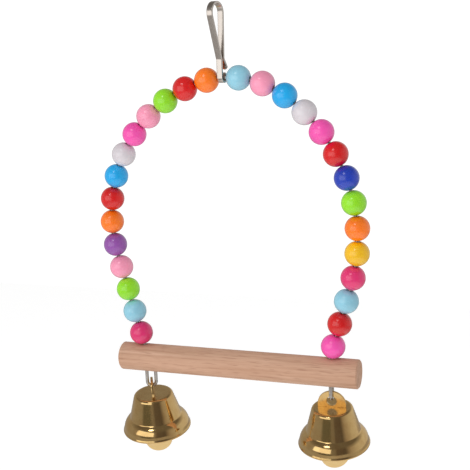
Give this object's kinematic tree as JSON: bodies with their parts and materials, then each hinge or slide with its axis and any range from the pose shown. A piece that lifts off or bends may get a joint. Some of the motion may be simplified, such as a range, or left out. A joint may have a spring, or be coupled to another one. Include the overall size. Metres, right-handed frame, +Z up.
{
  "type": "bird swing",
  "caption": "Arched bird swing: a round wooden perch on a bent wire threaded with plastic beads, hung from a sprung strip hook, with a brass bell under each end.",
  "frame": {"origin": "centre of the hook's round seat, where the cage bar lies", "axes": "+X along the perch to the right as seen from the front, +Y to the rear, +Z up"},
  "size_m": [0.116, 0.0308, 0.1941],
  "materials": {
    "hook_strip": "satin",
    "arch_wire": "satin",
    "perch_wood": "matte",
    "bell_brass": "polished",
    "clapper_brass": "satin",
    "bead_orange": "satin",
    "bead_red": "satin",
    "bead_lime": "satin",
    "bead_pink": "satin",
    "bead_hot_pink": "satin",
    "bead_white": "satin",
    "bead_blue": "satin",
    "bead_purple": "satin",
    "bead_light_blue": "satin",
    "bead_rose": "satin",
    "bead_dark_blue": "satin",
    "bead_yellow": "satin"
  },
  "bodies": {
    "hook": {"hanging_hook": "hook_strip"},
    "swing_frame": {"arch_wire": "arch_wire", "perch": "perch_wood"},
    "left_bell": {"left_bell_shell": "bell_brass", "left_bell_hanger": "bell_brass"},
    "left_clapper": {"left_clapper_wire": "clapper_brass", "left_clapper_disc": "clapper_brass"},
    "right_bell": {"right_bell_shell": "bell_brass", "right_bell_hanger": "bell_brass"},
    "right_clapper": {"right_clapper_wire": "clapper_brass", "right_clapper_disc": "clapper_brass"},
    "bead_left_01": {"bead_left_01": "bead_orange"},
    "bead_left_02": {"bead_left_02": "bead_red"},
    "bead_left_03": {"bead_left_03": "bead_lime"},
    "bead_left_04": {"bead_left_04": "bead_pink"},
    "bead_left_05": {"bead_left_05": "bead_hot_pink"},
    "bead_left_06": {"bead_left_06": "bead_white"},
    "bead_left_07": {"bead_left_07": "bead_blue"},
    "bead_left_08": {"bead_left_08": "bead_red"},
    "bead_left_09": {"bead_left_09": "bead_orange"},
    "bead_left_10": {"bead_left_10": "bead_purple"},
    "bead_left_11": {"bead_left_11": "bead_pink"},
    "bead_left_12": {"bead_left_12": "bead_lime"},
    "bead_left_13": {"bead_left_13": "bead_light_blue"},
    "bead_left_14": {"bead_left_14": "bead_rose"},
    "bead_right_01": {"bead_right_01": "bead_light_blue"},
    "bead_right_02": {"bead_right_02": "bead_pink"},
    "bead_right_03": {"bead_right_03": "bead_blue"},
    "bead_right_04": {"bead_right_04": "bead_white"},
    "bead_right_05": {"bead_right_05": "bead_hot_pink"},
    "bead_right_06": {"bead_right_06": "bead_red"},
    "bead_right_07": {"bead_right_07": "bead_dark_blue"},
    "bead_right_08": {"bead_right_08": "bead_lime"},
    "bead_right_09": {"bead_right_09": "bead_orange"},
    "bead_right_10": {"bead_right_10": "bead_yellow"},
    "bead_right_11": {"bead_right_11": "bead_rose"},
    "bead_right_12": {"bead_right_12": "bead_light_blue"},
    "bead_right_13": {"bead_right_13": "bead_red"},
    "bead_right_14": {"bead_right_14": "bead_hot_pink"}
  },
  "joints": [
    {"name": "swing", "type": "hinge", "parent": "hook", "child": "swing_frame", "pos_m": [0.00055, 0.00281, -0.02478], "axis": [1, 0, 0], "range_deg": [-80, 80]},
    {"name": "left_bell_swing", "type": "hinge", "parent": "swing_frame", "child": "left_bell", "pos_m": [-0.03974, 0.00365, -0.15721], "axis": [0.8988, 0.4384, 0], "range_deg": [-60, 60]},
    {"name": "left_clapper_swing", "type": "hinge", "parent": "left_bell", "child": "left_clapper", "pos_m": [-0.03974, 0.00447, -0.16431], "axis": [0.8999, 0.4331, 0.0501], "range_deg": [-38, 38]},
    {"name": "right_bell_swing", "type": "hinge", "parent": "swing_frame", "child": "right_bell", "pos_m": [0.04085, 0.00471, -0.15611], "axis": [-0.0698, 0.9976, 0], "range_deg": [-60, 60]},
    {"name": "right_clapper_swing", "type": "hinge", "parent": "right_bell", "child": "right_clapper", "pos_m": [0.04085, 0.00553, -0.16321], "axis": [0.3579, 0.9276, 0.1073], "range_deg": [-28, 28]},
    {"name": "bead_left_01_turn", "type": "hinge", "parent": "swing_frame", "child": "bead_left_01", "pos_m": [-0.00614, 0.00281, -0.02564], "axis": [-0.978, 0, -0.2086], "continuous": true},
    {"name": "bead_left_02_turn", "type": "hinge", "parent": "swing_frame", "child": "bead_left_02", "pos_m": [-0.01566, 0.00281, -0.02875], "axis": [-0.92, 0, -0.3919], "continuous": true},
    {"name": "bead_left_03_turn", "type": "hinge", "parent": "swing_frame", "child": "bead_left_03", "pos_m": [-0.02452, 0.00281, -0.03342], "axis": [-0.8433, 0, -0.5374], "continuous": true},
    {"name": "bead_left_04_turn", "type": "hinge", "parent": "swing_frame", "child": "bead_left_04", "pos_m": [-0.0325, 0.00281, -0.03948], "axis": [-0.7438, 0, -0.6684], "continuous": true},
    {"name": "bead_left_05_turn", "type": "hinge", "parent": "swing_frame", "child": "bead_left_05", "pos_m": [-0.03937, 0.00281, -0.04677], "axis": [-0.6241, 0, -0.7813], "continuous": true},
    {"name": "bead_left_06_turn", "type": "hinge", "parent": "swing_frame", "child": "bead_left_06", "pos_m": [-0.04496, 0.00281, -0.05508], "axis": [-0.4876, 0, -0.8731], "continuous": true},
    {"name": "bead_left_07_turn", "type": "hinge", "parent": "swing_frame", "child": "bead_left_07", "pos_m": [-0.04911, 0.00281, -0.0642], "axis": [-0.3378, 0, -0.9412], "continuous": true},
    {"name": "bead_left_08_turn", "type": "hinge", "parent": "swing_frame", "child": "bead_left_08", "pos_m": [-0.05171, 0.00281, -0.07388], "axis": [-0.179, 0, -0.9839], "continuous": true},
    {"name": "bead_left_09_turn", "type": "hinge", "parent": "swing_frame", "child": "bead_left_09", "pos_m": [-0.05268, 0.00281, -0.08385], "axis": [-0.0152, 0, -0.9999], "continuous": true},
    {"name": "bead_left_10_turn", "type": "hinge", "parent": "swing_frame", "child": "bead_left_10", "pos_m": [-0.05201, 0.00281, -0.09384], "axis": [0.1489, 0, -0.9889], "continuous": true},
    {"name": "bead_left_11_turn", "type": "hinge", "parent": "swing_frame", "child": "bead_left_11", "pos_m": [-0.04987, 0.00281, -0.10364], "axis": [0.2385, 0, -0.9711], "continuous": true},
    {"name": "bead_left_12_turn", "type": "hinge", "parent": "swing_frame", "child": "bead_left_12", "pos_m": [-0.04747, 0.00281, -0.11338], "axis": [0.2385, 0, -0.9711], "continuous": true},
    {"name": "bead_left_13_turn", "type": "hinge", "parent": "swing_frame", "child": "bead_left_13", "pos_m": [-0.04508, 0.00281, -0.12312], "axis": [0.2385, 0, -0.9711], "continuous": true},
    {"name": "bead_left_14_turn", "type": "hinge", "parent": "swing_frame", "child": "bead_left_14", "pos_m": [-0.04269, 0.00281, -0.13286], "axis": [0.2385, 0, -0.9711], "continuous": true},
    {"name": "bead_right_01_turn", "type": "hinge", "parent": "swing_frame", "child": "bead_right_01", "pos_m": [0.00728, 0.00281, -0.02505], "axis": [0.9925, 0, -0.1226], "continuous": true},
    {"name": "bead_right_02_turn", "type": "hinge", "parent": "swing_frame", "child": "bead_right_02", "pos_m": [0.01703, 0.00281, -0.02751], "axis": [0.9317, 0, -0.3633], "continuous": true},
    {"name": "bead_right_03_turn", "type": "hinge", "parent": "swing_frame", "child": "bead_right_03", "pos_m": [0.02587, 0.00281, -0.0323], "axis": [0.8135, 0, -0.5816], "continuous": true},
    {"name": "bead_right_04_turn", "type": "hinge", "parent": "swing_frame", "child": "bead_right_04", "pos_m": [0.03351, 0.00281, -0.03886], "axis": [0.7075, 0, -0.7067], "continuous": true},
    {"name": "bead_right_05_turn", "type": "hinge", "parent": "swing_frame", "child": "bead_right_05", "pos_m": [0.04009, 0.00281, -0.04649], "axis": [0.5952, 0, -0.8036], "continuous": true},
    {"name": "bead_right_06_turn", "type": "hinge", "parent": "swing_frame", "child": "bead_right_06", "pos_m": [0.04546, 0.00281, -0.055], "axis": [0.4697, 0, -0.8828], "continuous": true},
    {"name": "bead_right_07_turn", "type": "hinge", "parent": "swing_frame", "child": "bead_right_07", "pos_m": [0.04952, 0.00281, -0.06422], "axis": [0.334, 0, -0.9426], "continuous": true},
    {"name": "bead_right_08_turn", "type": "hinge", "parent": "swing_frame", "child": "bead_right_08", "pos_m": [0.05217, 0.00281, -0.07393], "axis": [0.1909, 0, -0.9816], "continuous": true},
    {"name": "bead_right_09_turn", "type": "hinge", "parent": "swing_frame", "child": "bead_right_09", "pos_m": [0.05336, 0.00281, -0.08393], "axis": [0.0436, 0, -0.999], "continuous": true},
    {"name": "bead_right_10_turn", "type": "hinge", "parent": "swing_frame", "child": "bead_right_10", "pos_m": [0.05305, 0.00281, -0.094], "axis": [-0.1046, 0, -0.9945], "continuous": true},
    {"name": "bead_right_11_turn", "type": "hinge", "parent": "swing_frame", "child": "bead_right_11", "pos_m": [0.05125, 0.00281, -0.10391], "axis": [-0.2506, 0, -0.9681], "continuous": true},
    {"name": "bead_right_12_turn", "type": "hinge", "parent": "swing_frame", "child": "bead_right_12", "pos_m": [0.04838, 0.00281, -0.11357], "axis": [-0.2907, 0, -0.9568], "continuous": true},
    {"name": "bead_right_13_turn", "type": "hinge", "parent": "swing_frame", "child": "bead_right_13", "pos_m": [0.04545, 0.00281, -0.12321], "axis": [-0.2907, 0, -0.9568], "continuous": true},
    {"name": "bead_right_14_turn", "type": "hinge", "parent": "swing_frame", "child": "bead_right_14", "pos_m": [0.04252, 0.00281, -0.13286], "axis": [-0.2907, 0, -0.9568], "continuous": true}
  ]
}
